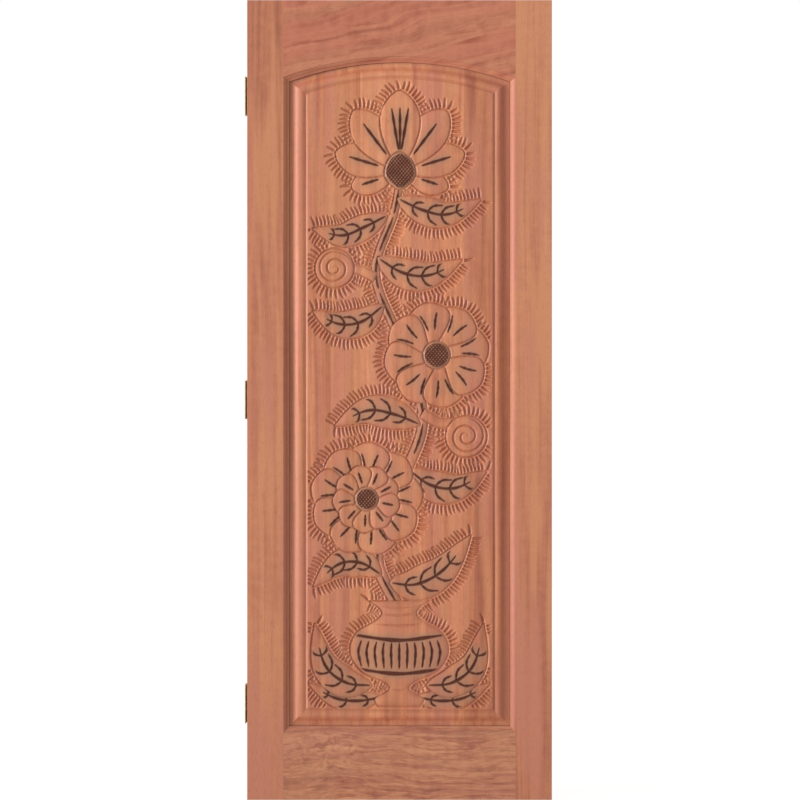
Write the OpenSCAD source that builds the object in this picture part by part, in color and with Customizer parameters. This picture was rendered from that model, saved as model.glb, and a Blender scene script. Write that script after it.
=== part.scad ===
// Panelled wooden door leaf on three butt hinges.
// +X to the right seen from the front, -Y towards the front, +Z up.
// The origin is the middle of the bottom edge. Sizes are in millimetres.

/* [Leaf] */
// Width of the leaf
leaf_w = 800; // [700:5:1000]
// Height of the leaf
leaf_h = 2100; // [1900:5:2400]
// Thickness of the leaf
leaf_t = 40; // [36:1:50]

/* [Stiles and rails] */
// Face width of each stile
stile_w = 95; // [75:1:140]
// Face height of the bottom rail
bottom_rail_h = 178; // [140:1:260]
// Face height of the top rail at the crown of its arch
top_rail_h = 148; // [110:1:220]
// Rise of the top rail's arch from its springing to its crown
arch_rise = 55; // [30:1:110]

/* [Moulded edge] */
// Width of the moulded edge, and depth of the panel groove in it
mould_w = 15; // [12:0.5:20]
// Least thickness of the moulded edge beside the groove
mould_wall = 7; // [2:0.5:8]
// Depth of the step where the moulding starts
quirk_d = 1.5; // [0.5:0.1:2.5]
// Width of the step where the moulding starts
quirk_w = 1.5; // [0.5:0.1:2.5]

/* [Panel] */
// Thickness of the panel's tongue
tongue_t = 12; // [9:0.5:14]
// Play of the tongue in its groove, on each face
tongue_play = 0.2; // [0.1:0.05:0.4]
// Room for the panel to swell, at both sides and at the top
panel_gap = 3; // [2:0.5:5]
// Gap between the moulded edge and the panel's shoulder
reveal_w = 1; // [0.5:0.5:4]
// Height of the panel's shoulder above its tongue
shoulder_h = 4; // [1:0.5:5]
// Width of the flat strip on the shoulder
shoulder_w = 6; // [2:0.5:12]
// Width of the bevel between the shoulder and the border
bevel_w = 23; // [16:1:36]
// Depth of the panel's field below the stile's face
field_drop = 3; // [2:0.5:5]
// Width of the flat border between the bevel and the V-groove
border_w = 3; // [2:0.5:14]
// Width of the V-groove around the field
vee_w = 12; // [8:0.5:16]
// Depth of the V-groove around the field
vee_d = 2.5; // [2:0.5:5]
// Width of the flat at the bottom of the V-groove
vee_flat = 0.5; // [0.5:0.1:2]
// Width of each glued board, as shares of the panel from left to right
stave_shares = [8, 7, 10.5, 10, 10];

/* [Dowels between the boards] */
// Radius of a dowel
dowel_r = 5; // [3:0.5:5.5]
// Length of a dowel
dowel_l = 60; // [40:1:64]
// Room at each end of a dowel
dowel_gap = 1.5; // [1:0.5:3]
// Dowels in each glued joint
dowel_count = 6; // [3:1:9]
// Height of the lowest and depth of the highest dowel from the panel's ends
dowel_inset = 150; // [80:5:250]

/* [Tenons and wedges] */
// Thickness of a tenon
tenon_t = 13; // [10:0.5:14]
// Height of a tenon
tenon_h = 120; // [80:1:126]
// Length of a wedge
wedge_l = 60; // [40:1:70]
// Thick end of a wedge
wedge_t = 8; // [5:0.5:10]
// Thin end of a wedge
wedge_tip = 1; // [0.5:0.1:2]
// Room past the thin end of a wedge
wedge_gap = 2; // [1:0.5:4]

/* [Hinges] */
// Distance from the leaf's end to the middle of the outer hinges
hinge_inset = 250; // [215:5:400]
// Height of a hinge
hinge_h = 100; // [80:1:125]
// Width of a hinge leaf, from its inner edge to the door's back face
flap_w = 32; // [28:1:36]
// Thickness of a hinge leaf
flap_t = 3; // [2.5:0.1:4]
// Gap between the stile's edge and the door frame
jamb_gap = 3; // [2:0.5:5]
// Outer radius of the hinge barrel
barrel_r = 6.5; // [6:0.1:8]
// Gap between the barrel and the door's back face
barrel_gap = 0.5; // [0.4:0.1:2]
// Knuckles of a hinge
knuckle_count = 5; // [3:2:7]
// Gap between two knuckles
knuckle_gap = 0.3; // [0.2:0.05:0.6]
// Radius of the hinge pin
pin_r = 3.5; // [2.5:0.1:4]
// Running clearance of the pin, on the radius
pin_play = 0.05; // [0.02:0.01:0.1]
// Radius of the pin's head
pin_head_r = 5.5; // [4.6:0.1:6]
// Height of the pin's head
pin_head_h = 2.5; // [1.5:0.1:4]

/* [Hinge screws] */
// Radius of a screw's shank
screw_r = 2.25; // [1.75:0.05:2.3]
// Radius of a screw hole in a hinge leaf
screw_hole_r = 2.4; // [2.4:0.05:2.8]
// Radius of a screw's head
screw_head_r = 4.2; // [3.6:0.1:4.8]
// Gap around a screw's head
screw_head_gap = 0.1; // [0.05:0.05:0.2]
// Length of a screw with its head
screw_l = 30; // [20:1:40]
// Length of a screw's pointed end
screw_point = 5; // [3:0.5:8]
// Room past the point of a screw
screw_gap = 1; // [0.5:0.5:3]
// Distance between a leaf's two screws across its width
screw_across = 14; // [12:0.5:16]
// Distance between a leaf's two screws along its height
screw_along = 70; // [50:1:76]
// Height between the screws of the two leaves, so that their heads clear each other
screw_stagger = 10; // [0:1:14]
// Width of the slot in a screw's head
slot_w = 1; // [0.6:0.1:1.4]
// Depth of the slot in a screw's head
slot_d = 0.8; // [0.4:0.1:1.2]

/* [Hidden] */
$fn = 64;

stile_wood = "#be8163";
rail_wood = "#b67b5f";
panel_wood = ["#a96c50", "#b47557", "#b37459", "#b07257", "#ac6f53"];
plain_wood = "#c49a6c";
hinge_metal = "#8d8468";
pin_metal = "#a39b80";

// How far a joined shape runs into its neighbour, and a cutter past a face
bite = 1;
// Flat steps that draw a moulding or a bevel in section
curve_steps = 8;
// Steps of a full turn at which a preview draws the wide arch
arch_steps = 256;
// Share by which the moulding's slope swings to both sides of its mean
mould_swing = 0.5;
// Share by which the bevel's slope swings to both sides of its mean
bevel_swing = 0.6;

// The opening that the stiles and rails frame, measured at their face edges
half_w = leaf_w / 2;
half_t = leaf_t / 2;
open_w = leaf_w - 2 * stile_w;
open_x = open_w / 2;
crown_z = leaf_h - top_rail_h;
spring_z = crown_z - arch_rise;
arch_r = (open_x * open_x + arch_rise * arch_rise) / (2 * arch_rise);
arch_z = crown_z - arch_r;

// Heights above the leaf's middle plane
groove_side = tongue_t / 2 + tongue_play;
mould_low = groove_side + mould_wall;
field_f = half_t - field_drop;
shoulder_f = tongue_t / 2 + shoulder_h;

// Distances inwards from the opening's edge
shoulder_e = mould_w + reveal_w;
bevel_e = shoulder_e + shoulder_w;
border_e = bevel_e + bevel_w;
vee_e = border_e + border_w;

// Where a rail's tenons lie
bottom_tenon_z = bottom_rail_h / 2;
top_tenon_z = (spring_z + leaf_h) / 2;

// Hinge axis, measured from the leaf's edge and its back face
axis_x = -half_w - jamb_gap / 2;
axis_back = barrel_r + barrel_gap;
axis_y = half_t + axis_back;
hinge_z = [hinge_inset, leaf_h / 2, leaf_h - hinge_inset];
hinge_places = ["bottom", "middle", "top"];
knuckle_pitch = (hinge_h + knuckle_gap) / knuckle_count;
knuckle_l = knuckle_pitch - knuckle_gap;
// The door side's screws are the raised ones
door_way = 1;

// Sum of the first n numbers of a list
function sum_of(list, n) = n == 0 ? 0 : list[n - 1] + sum_of(list, n - 1);

// Left side of the stave that follows n others, to a tenth of a millimetre
function seam_x(n) =
    let (
        panel_w = open_w - 2 * panel_gap,
        share = sum_of(stave_shares, n) / sum_of(stave_shares, len(stave_shares))
    )
    round(10 * panel_w * (share - 0.5)) / 10;

// Height at which an offset of the arch meets the same offset of the opening's side
function arch_corner_z(e) = arch_z + sqrt(pow(arch_r - e, 2) - pow(open_x - e, 2));

// Points of an ogee from p to q, flatter at both ends than in its middle
function ogee_between(p, q, swing) =
    [for (i = [0 : curve_steps])
        let (t = i / curve_steps)
        [p.x + (q.x - p.x) * t, p.y + (q.y - p.y) * (t - swing * sin(360 * t) / (2 * PI))]];

function reversed(list) = [for (i = [len(list) - 1 : -1 : 0]) list[i]];

// Section of the moulded edge on the front: distance inwards, height above the middle plane
mould_section = concat(
    [[-bite, groove_side], [-bite, half_t - quirk_d]],
    ogee_between([quirk_w, half_t - quirk_d], [mould_w, mould_low], mould_swing),
    [[mould_w, groove_side]]
);

// Edge of the panel in section, from its back field round the shouldered tongue to its front field
function panel_edge(gap) =
    let (
        front = concat(
            [[gap, tongue_t / 2], [shoulder_e, tongue_t / 2], [shoulder_e, shoulder_f]],
            ogee_between([bevel_e, shoulder_f], [border_e, field_f], bevel_swing)
        )
    )
    concat([for (p = reversed(front)) [p.x, -p.y]], front);

// Edge of a block that is bounded at the given distances in the V-groove and above the field
function vee_edge(deep, shallow) =
    let (slope = (shallow - deep) / vee_d)
    [[deep, field_f - vee_d], [shallow + slope * bite, field_f + bite]];

// Carries a section from its own plane to the upper half of a ring around the arch's centre
module around_arch() {
    translate([0, 0, arch_z])
        rotate([90, 0, 0])
            rotate_extrude(angle = 180, $fn = arch_steps)
                children();
}

// Block inside the opening whose edge follows a section at both sides, bottom and arch
module framed_block(edge, bottom_edge) {
    low = edge[0].y;
    high = edge[len(edge) - 1].y;
    intersection() {
        linear_extrude(leaf_h)
            polygon(concat(
                [for (p = edge) [p.x - open_x, -p.y]],
                [for (p = reversed(edge)) [open_x - p.x, -p.y]]
            ));
        rotate([90, 0, 90])
            translate([0, 0, -open_x])
                linear_extrude(open_w)
                    polygon(concat(
                        [for (p = bottom_edge) [-p.y, bottom_rail_h + p.x]],
                        [[-high, leaf_h], [-low, leaf_h]]
                    ));
        union() {
            around_arch()
                polygon(concat([for (p = edge) [arch_r - p.x, p.y]], [[0, high], [0, low]]));
            translate([-open_x, -high, arch_z - leaf_h])
                cube([open_w, high - low, leaf_h]);
        }
    }
}

module vee_groove() {
    middle = vee_e + vee_w / 2;
    pit = vee_edge(middle - vee_flat / 2, vee_e);
    island = vee_edge(middle + vee_flat / 2, vee_e + vee_w);
    difference() {
        framed_block(pit, pit);
        framed_block(island, island);
    }
}

module stave_dowel_set(seam, extra) {
    low = bottom_rail_h + dowel_inset;
    high = spring_z - dowel_inset;
    l = dowel_l + 2 * extra;
    for (i = [0 : dowel_count - 1])
        translate([seam_x(seam) - l / 2, 0, low + (high - low) * i / (dowel_count - 1)])
            rotate([0, 90, 0])
                cylinder(r = dowel_r, h = l);
}

// One glued board of the panel, with its tongue, bevels, V-groove and dowel holes
module panel_stave(n) {
    left = seam_x(n);
    color(panel_wood[n])
        difference() {
            intersection() {
                framed_block(panel_edge(panel_gap), panel_edge(0));
                translate([left, -half_t, 0])
                    cube([seam_x(n + 1) - left, leaf_t, leaf_h]);
            }
            vee_groove();
            if (n > 0)
                stave_dowel_set(n, dowel_gap);
            if (n < len(stave_shares) - 1)
                stave_dowel_set(n + 1, dowel_gap);
        }
}

module stave_dowels() {
    color(plain_wood)
        for (seam = [1 : len(stave_shares) - 1])
            stave_dowel_set(seam, 0);
}

// Both faces of the moulded edge in section
module mould_faces() {
    polygon(mould_section);
    mirror([0, 1])
        polygon(mould_section);
}

// Moulded edge of the left stile, mitred to both rails
module stile_moulding() {
    slope = (spring_z - arch_corner_z(mould_w)) / mould_w;
    intersection() {
        translate([-open_x, 0, 0])
            linear_extrude(leaf_h)
                mould_faces();
        translate([-open_x, half_t, 0])
            rotate([90, 0, 0])
                linear_extrude(leaf_t)
                    polygon([
                        [-bite, bottom_rail_h - bite],
                        [mould_w, bottom_rail_h + mould_w],
                        [mould_w, arch_corner_z(mould_w)],
                        [-bite, spring_z + slope * bite]
                    ]);
    }
}

module bottom_rail_moulding() {
    intersection() {
        translate([0, 0, bottom_rail_h])
            rotate([90, 0, 90])
                translate([0, 0, -open_x])
                    linear_extrude(open_w)
                        rotate(90)
                            mould_faces();
        translate([0, half_t, bottom_rail_h])
            rotate([90, 0, 0])
                linear_extrude(leaf_t)
                    polygon([
                        [-open_x, -bite],
                        [-open_x, 0],
                        [mould_w - open_x, mould_w],
                        [open_x - mould_w, mould_w],
                        [open_x, 0],
                        [open_x, -bite]
                    ]);
    }
}

module top_rail_moulding() {
    inner_z = arch_corner_z(mould_w);
    intersection() {
        around_arch()
            translate([arch_r, 0])
                mirror([1, 0])
                    mould_faces();
        translate([0, half_t, 0])
            rotate([90, 0, 0])
                linear_extrude(leaf_t)
                    polygon([
                        [-open_x, spring_z],
                        [mould_w - open_x, inner_z],
                        [open_x - mould_w, inner_z],
                        [open_x, spring_z],
                        [open_x, leaf_h],
                        [-open_x, leaf_h]
                    ]);
    }
}

// One wedge beside a left end tenon, thick at the leaf's edge
module wedge(room) {
    rotate([90, 0, 0])
        linear_extrude(tenon_t, center = true)
            polygon(concat(
                [[0, 0], [wedge_l + room, 0], [wedge_l + room, wedge_tip]],
                [[wedge_l, wedge_tip], [0, wedge_t]]
            ));
}

// The two wedges of a left end tenon
module wedge_pair(z, room) {
    translate([-half_w, 0, z])
        for (side = [0, 1])
            mirror([0, 0, side])
                translate([0, 0, tenon_h / 2])
                    wedge(room);
}

module tenon_wedges(z) {
    color(plain_wood)
        for (side = [0, 1])
            mirror([side, 0, 0])
                wedge_pair(z, 0);
}

// Through mortise in the left stile, flared for its two wedges
module mortise(z) {
    translate([-half_w - bite, -tenon_t / 2, z - tenon_h / 2])
        cube([stile_w + 2 * bite, tenon_t, tenon_h]);
    wedge_pair(z, wedge_gap);
}

// Left stile without its hinge gains, from which both stiles are made
module stile() {
    difference() {
        union() {
            translate([-half_w, -half_t, 0])
                cube([stile_w, leaf_t, leaf_h]);
            stile_moulding();
        }
        mortise(bottom_tenon_z);
        mortise(top_tenon_z);
    }
}

// Carries a shape from the hinge axis to one of the hinges, from its lower end up
module at_hinge(n) {
    translate([axis_x, axis_y, hinge_z[n] - hinge_h / 2])
        children();
}

// Runs a shape along +X at each of a leaf's four screws, raised on one leaf and lowered on the other
module at_screws(way) {
    for (across = [-1, 1], along = [-1, 1])
        translate([
            jamb_gap / 2,
            -axis_back - flap_w / 2 + across * screw_across / 2,
            (hinge_h + way * screw_stagger + along * screw_along) / 2
        ])
            rotate([0, 90, 0])
                children();
}

// One hinge leaf around its axis, with every other knuckle from the first one given
module flap(first, way) {
    x = jamb_gap / 2;
    cone = screw_head_r + screw_head_gap - screw_hole_r;
    difference() {
        union() {
            translate([x, -axis_back - flap_w, 0])
                cube([flap_t, flap_w, hinge_h]);
            for (i = [first : 2 : knuckle_count - 1])
                translate([0, 0, i * knuckle_pitch]) {
                    cylinder(r = barrel_r, h = knuckle_l);
                    translate([x, -axis_back - bite, 0])
                        cube([flap_t, axis_back + bite, knuckle_l]);
                }
        }
        translate([0, 0, -bite])
            cylinder(r = pin_r + pin_play, h = hinge_h + 2 * bite);
        at_screws(way) {
            translate([0, 0, -bite])
                cylinder(r = screw_hole_r, h = flap_t + 2 * bite);
            translate([0, 0, -bite])
                cylinder(r1 = screw_hole_r + cone + bite, r2 = screw_hole_r, h = cone + bite);
        }
    }
}

module door_flap(n) {
    color(hinge_metal)
        at_hinge(n)
            flap(1, door_way);
}

module frame_flap(n) {
    color(hinge_metal)
        at_hinge(n)
            mirror([1, 0, 0])
                flap(0, -door_way);
}

module hinge_pin(n) {
    color(pin_metal)
        at_hinge(n) {
            cylinder(r = pin_r, h = hinge_h);
            translate([0, 0, hinge_h])
                cylinder(r = pin_head_r, h = pin_head_h);
        }
}

// One slotted countersunk screw, from its head along +Z
module screw() {
    difference() {
        union() {
            cylinder(r1 = screw_head_r, r2 = screw_r, h = screw_head_r - screw_r);
            cylinder(r = screw_r, h = screw_l - screw_point);
            translate([0, 0, screw_l - screw_point])
                cylinder(r1 = screw_r, r2 = 0, h = screw_point);
        }
        translate([-screw_head_r, -slot_w / 2, -bite])
            cube([2 * screw_head_r, slot_w, slot_d + bite]);
    }
}

module hinge_screws(n) {
    color(pin_metal)
        at_hinge(n)
            at_screws(door_way)
                screw();
}

module hinge_stile() {
    color(stile_wood)
        difference() {
            stile();
            for (n = [0 : len(hinge_z) - 1])
                at_hinge(n) {
                    translate([jamb_gap / 2 - bite, -axis_back - flap_w, 0])
                        cube([flap_t + bite, flap_w + bite, hinge_h]);
                    at_screws(door_way)
                        cylinder(r = screw_r, h = screw_l + screw_gap);
                }
        }
}

module lock_stile() {
    color(stile_wood)
        mirror([1, 0, 0])
            stile();
}

// Tenon that runs through both stiles, in line with its rail
module through_tenon(z) {
    translate([-half_w, -tenon_t / 2, z - tenon_h / 2])
        cube([leaf_w, tenon_t, tenon_h]);
}

module bottom_rail() {
    color(rail_wood)
        union() {
            translate([-open_x, -half_t, 0])
                cube([open_w, leaf_t, bottom_rail_h]);
            bottom_rail_moulding();
            through_tenon(bottom_tenon_z);
        }
}

module top_rail() {
    color(rail_wood)
        union() {
            difference() {
                translate([-open_x, -half_t, spring_z])
                    cube([open_w, leaf_t, leaf_h - spring_z]);
                translate([0, half_t + bite, arch_z])
                    rotate([90, 0, 0])
                        cylinder(r = arch_r, h = leaf_t + 2 * bite, $fn = arch_steps);
            }
            top_rail_moulding();
            difference() {
                through_tenon(top_tenon_z);
                translate([-open_x, -half_t, 0])
                    cube([open_w, leaf_t, leaf_h]);
            }
        }
}

hinge_stile();
lock_stile();
top_rail();
bottom_rail();
for (n = [0 : len(stave_shares) - 1])
    panel_stave(n);
stave_dowels();
tenon_wedges(top_tenon_z);  // top_tenon_wedges
tenon_wedges(bottom_tenon_z);  // bottom_tenon_wedges
for (n = [0 : len(hinge_places) - 1]) {
    door_flap(n);
    frame_flap(n);
    hinge_pin(n);
    hinge_screws(n);
}
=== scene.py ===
from math import cos, hypot, pi, radians, sin

import bmesh
import bpy
import numpy as np
from mathutils import Matrix, Vector
from mathutils.geometry import tessellate_polygon


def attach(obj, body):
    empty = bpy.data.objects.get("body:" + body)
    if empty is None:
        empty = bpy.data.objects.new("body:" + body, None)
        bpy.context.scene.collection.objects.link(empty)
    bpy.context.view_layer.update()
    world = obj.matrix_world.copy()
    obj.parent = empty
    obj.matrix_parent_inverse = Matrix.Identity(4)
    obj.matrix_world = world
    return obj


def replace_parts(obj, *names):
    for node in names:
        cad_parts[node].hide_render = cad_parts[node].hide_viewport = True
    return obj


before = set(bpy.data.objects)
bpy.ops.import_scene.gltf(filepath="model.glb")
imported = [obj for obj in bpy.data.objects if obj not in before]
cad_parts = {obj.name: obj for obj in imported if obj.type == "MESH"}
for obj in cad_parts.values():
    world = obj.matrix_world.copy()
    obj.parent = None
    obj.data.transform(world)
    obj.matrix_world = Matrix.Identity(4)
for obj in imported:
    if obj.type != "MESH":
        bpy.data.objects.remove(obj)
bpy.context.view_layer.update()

# Camera: square to the leaf, level with its middle, as in the photograph.
# The leaf's front face fills the picture from top to bottom and stands half a pixel left of its middle.
MM = 0.001
LEAF_W, LEAF_H, LEAF_T = 800, 2100, 40
CAMERA_FAR = 8.0
HALF_PIXEL = 0.0013
camera = bpy.data.objects.new("camera", bpy.data.cameras.new("camera"))
bpy.context.scene.collection.objects.link(camera)
camera.data.sensor_width = 36
camera.data.lens = camera.data.sensor_width * CAMERA_FAR / (LEAF_H * MM)
camera.location = (HALF_PIXEL, -LEAF_T / 2 * MM - CAMERA_FAR, LEAF_H / 2 * MM)
camera.rotation_euler = (radians(90), 0, 0)
bpy.context.scene.camera = camera

# Stiles: the two full-height uprights, solid mahogany with straight grain, planed and oiled.
# Each has its moulding run on the inner edge, and the outer arrises are broken with sandpaper.
DOOR = "door"
STILE_IN = 305
ARRIS, FINE_ARRIS = 0.9, 0.3


def linear(colour):
    """Shader colour of an sRGB hex value."""
    parts = [int(colour[i:i + 2], 16) / 255 for i in (1, 3, 5)]
    return [c / 12.92 if c <= 0.04045 else ((c + 0.055) / 1.055) ** 2.4 for c in parts] + [1.0]


def add(tree, kind, links=None, **settings):
    """Adds one node with its settings, and links or values for its inputs. A node stands for its first output."""
    node = tree.nodes.new(kind)
    for key, value in settings.items():
        setattr(node, key, value)
    for key, value in (links or {}).items():
        value = value.outputs[0] if isinstance(value, bpy.types.Node) else value
        if isinstance(value, bpy.types.NodeSocket):
            tree.links.new(value, node.inputs[key])
        else:
            node.inputs[key].default_value = value
    return node


def blank(name):
    """New material, and its node tree with nothing in it yet."""
    material = bpy.data.materials.new(name)
    material.use_nodes = True
    material.node_tree.nodes.clear()
    return material, material.node_tree


def sawn_wood(name, tones, hues=(), along="Z", heart=(140, -190), seed=0.0, rings=1.0, streaks=1.0, sweep=0.0,
              sway=0.0, hue=0.5, ripple=0.3, fade=0.0, dark=0.0, flame=0.0, curl=None, carved=False,
              oil_and_shade_tint="#fff0e2"):
    """Sawn, planed and oiled wood: soft bands in two hues and fine streaks along the grain, short dark
    pores, a satin gloss, and denser, darker wood on its ends. Wild wood also has grain that sways, sparse
    dark sweeps and short flames. Pores are drawn 1.2 mm by 15 mm, coarser than real, so that they show."""
    material, tree = blank(name)

    def grain(across, length, detail=2.0, base=None, distortion=0.0):
        """Noise whose grains are so many millimetres across and long."""
        stretched = add(tree, "ShaderNodeVectorMath", {
            0: base or board, 1: (1 / across, 1 / across, 1 / length), 2: (seed, 3 * seed, 7 * seed)},
            operation="MULTIPLY_ADD")
        return add(tree, "ShaderNodeTexNoise", {
            "Vector": stretched, "Scale": 1.0, "Detail": detail, "Roughness": 0.55, "Distortion": distortion})

    def stained_or_shaded(colour, shade, where, strength, blend="MIX"):
        """The colour with another laid over it, where a mask says and so strongly; it lays the wood's own stains and
        also painted shade.
        """
        share = add(tree, "ShaderNodeMath", {0: where, 1: strength}, operation="MULTIPLY")
        shade = linear(shade) if isinstance(shade, str) else shade
        return add(tree, "ShaderNodeMix", {0: share, 6: colour, 7: shade}, data_type="RGBA",
                   blend_type=blend).outputs[2]

    # places in millimetres, turned so that the board's Z runs along the grain
    place = add(tree, "ShaderNodeTexCoord").outputs
    turn = (0, radians(90), 0) if along == "X" else (0, 0, 0)
    board = add(tree, "ShaderNodeMapping", {
        "Vector": place["Object"], "Scale": (1000, 1000, 1000), "Rotation": turn})
    facing = add(tree, "ShaderNodeMapping", {"Vector": place["Normal"], "Rotation": turn})
    x, y, z = add(tree, "ShaderNodeSeparateXYZ", {0: board}).outputs

    # growth rings about 11 mm wide round the log's heart, which wanders slowly along the board
    across = add(tree, "ShaderNodeMath", {0: z, 1: sweep, 2: x}, operation="MULTIPLY_ADD")
    if sway:
        swayed = add(tree, "ShaderNodeMath", {0: grain(110, 230, 1.0), 1: 0.5}, operation="SUBTRACT")
        across = add(tree, "ShaderNodeMath", {0: swayed, 1: 4 * sway, 2: across}, operation="MULTIPLY_ADD")
    wander = add(tree, "ShaderNodeMath", {0: grain(170, 850, 1.0), 1: 70.0, 2: -35.0 - heart[0]},
                 operation="MULTIPLY_ADD")
    wander = add(tree, "ShaderNodeMath", {0: wander, 1: across}, operation="ADD")
    inward = add(tree, "ShaderNodeMath", {0: y, 1: -heart[1]}, operation="ADD")
    off_heart = add(tree, "ShaderNodeCombineXYZ", {0: wander, 1: inward})
    far = add(tree, "ShaderNodeVectorMath", {0: off_heart}, operation="LENGTH").outputs["Value"]
    far = add(tree, "ShaderNodeMath", {0: far, 1: 1 / 11.0, 2: 31 * seed}, operation="MULTIPLY_ADD")
    ring = add(tree, "ShaderNodeTexNoise", {"W": far, "Scale": 1.0, "Detail": 4.0, "Roughness": 0.6},
               noise_dimensions="1D")

    # the figure on them: fibres, bands a finger wide, a mottle as of rippled wood, and short flames
    sheared = add(tree, "ShaderNodeCombineXYZ", {0: across, 1: y, 2: z})
    fibres = grain(2.6, 190, 3.0, sheared)
    pores = add(tree, "ShaderNodeMath", {0: grain(1.2, 15, 1.0, sheared), 1: 6.0, 2: -3.55},
                operation="MULTIPLY_ADD", use_clamp=True)
    figure = [(fibres, 0.5 * streaks), (grain(17, 600, 1.5, sheared, 0.3), 1.7 * streaks),
              (grain(30, 24, 3.0, sheared), ripple)]
    if flame:
        figure.append((grain(9, 80, 2.0, sheared, 1.2), flame))
    tone = add(tree, "ShaderNodeMath", {0: ring, 1: 1.5 * rings, 2: 0.5 - 0.75 * rings}, operation="MULTIPLY_ADD")
    for noise, share in figure:
        middled = add(tree, "ShaderNodeMath", {0: noise, 1: 0.5}, operation="SUBTRACT")
        tone = add(tree, "ShaderNodeMath", {0: middled, 1: share, 2: tone}, operation="MULTIPLY_ADD")
    faded = add(tree, "ShaderNodeMath", {0: z, 1: -fade / LEAF_H, 2: fade / 2}, operation="MULTIPLY_ADD")
    tone = add(tree, "ShaderNodeMath", {0: tone, 1: faded}, operation="ADD")
    if curl:
        # rippled figure round a spot of the board, as over a knot just below the face
        spot_along, spot_across, reach, strength = curl
        aside = add(tree, "ShaderNodeVectorMath", {
            0: board, 1: (1, 0, 0.62), 2: (-spot_across, 0, -0.62 * spot_along)}, operation="MULTIPLY_ADD")
        away = add(tree, "ShaderNodeVectorMath", {0: aside}, operation="LENGTH").outputs["Value"]
        close = add(tree, "ShaderNodeMath", {0: away, 1: -1 / reach, 2: 1.0}, operation="MULTIPLY_ADD",
                    use_clamp=True)
        swirl = add(tree, "ShaderNodeMath", {0: grain(21, 30, 1.0, board, 1.3), 1: 0.5}, operation="SUBTRACT")
        swirl = add(tree, "ShaderNodeMath", {0: swirl, 1: close}, operation="MULTIPLY")
        tone = add(tree, "ShaderNodeMath", {0: swirl, 1: strength, 2: tone}, operation="MULTIPLY_ADD")

    ramp = add(tree, "ShaderNodeValToRGB", {"Fac": tone})
    for k, (stop, shade) in enumerate(zip((0.1, 0.42, 0.6, 0.92), tones)):
        element = ramp.color_ramp.elements[k] if k < 2 else ramp.color_ramp.elements.new(stop)
        element.position, element.color = stop, linear(shade)
    colour = ramp
    for k, shade in enumerate(hues):
        # the wood drifts from tan to pink in bands a few centimetres wide
        drift = add(tree, "ShaderNodeMath", {0: grain(26 + 22 * k, 380 + 160 * k, 1.0, sheared), 1: 5.0, 2: -2.2},
                    operation="MULTIPLY_ADD", use_clamp=True)
        colour = stained_or_shaded(colour, shade, drift, hue)
    if dark:
        # sparse dark sweeps where the blade met a denser layer
        sweeps = add(tree, "ShaderNodeMath", {0: grain(17, 150, 2.5, sheared, 0.6), 1: 5.0, 2: -2.6},
                     operation="MULTIPLY_ADD", use_clamp=True)
        sparse = add(tree, "ShaderNodeMath", {0: grain(60, 120, 1.0), 1: 4.0, 2: -1.6},
                     operation="MULTIPLY_ADD", use_clamp=True)
        sweeps = add(tree, "ShaderNodeMath", {0: sweeps, 1: sparse}, operation="MULTIPLY")
        colour = stained_or_shaded(colour, "#9b4f31", sweeps, dark)
    colour = stained_or_shaded(colour, "#6d3b2a", pores, 0.42)

    # painted shade, partly oil: faces that turn from the leaf's front get a deeper, darker colour, as a slanting cut
    # drinks more oil; end grain drinks most of all
    _, front, end = add(tree, "ShaderNodeSeparateXYZ", {0: facing}).outputs
    front = add(tree, "ShaderNodeMath", {0: front}, operation="ABSOLUTE")
    oil_and_slope_shade = add(tree, "ShaderNodeMath", {0: front, 1: -5.5, 2: 5.5}, operation="MULTIPLY_ADD", use_clamp=True)
    facewise = add(tree, "ShaderNodeMath", {0: front, 1: 2.0}, operation="MULTIPLY", use_clamp=True)
    oil_and_slope_shade = add(tree, "ShaderNodeMath", {0: oil_and_slope_shade, 1: facewise}, operation="MULTIPLY")
    colour = stained_or_shaded(colour, oil_and_shade_tint, oil_and_slope_shade, 0.8, "MULTIPLY")
    end = add(tree, "ShaderNodeMath", {0: end}, operation="ABSOLUTE")
    end = add(tree, "ShaderNodeMath", {0: end, 1: 5.0, 2: -4.0}, operation="MULTIPLY_ADD", use_clamp=True)
    colour = stained_or_shaded(colour, "#7c4834", end, 0.55)

    rough = add(tree, "ShaderNodeMath", {0: fibres, 1: 0.14, 2: 0.46}, operation="MULTIPLY_ADD")
    if carved:
        # painted shade darkens the cut recesses, partly finish gathered there; the burned lines are charred, and
        # smoke greys the wood beside them
        cut, char, smoke = (add(tree, "ShaderNodeAttribute", attribute_name=kind).outputs["Fac"]
                            for kind in ("cut", "char", "smoke"))
        colour = stained_or_shaded(colour, "#99735a", smoke, 0.7)
        colour = stained_or_shaded(colour, "#7c4228", cut, 0.38)
        soot = add(tree, "ShaderNodeValToRGB", {"Fac": grain(4, 9, 2.0)})
        for element, (stop, shade) in zip(soot.color_ramp.elements, ((0.3, "#3a1203"), (0.8, "#662a11"))):
            element.position, element.color = stop, linear(shade)
        colour = stained_or_shaded(colour, soot, char, 0.97)
        rough = add(tree, "ShaderNodeMath", {0: char, 1: 0.45, 2: rough}, operation="MULTIPLY_ADD")
    height = add(tree, "ShaderNodeMath", {0: fibres, 1: 0.5}, operation="MULTIPLY")
    height = add(tree, "ShaderNodeMath", {0: pores, 1: -1.0, 2: height}, operation="MULTIPLY_ADD")
    bump = add(tree, "ShaderNodeBump", {"Height": height, "Strength": 0.35, "Distance": 0.0003})
    shader = add(tree, "ShaderNodeBsdfPrincipled", {
        "Base Color": colour, "Roughness": rough, "Normal": bump, "IOR": 1.5, "Specular IOR Level": 0.6})
    add(tree, "ShaderNodeOutputMaterial", {"Surface": shader})
    return material


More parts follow.
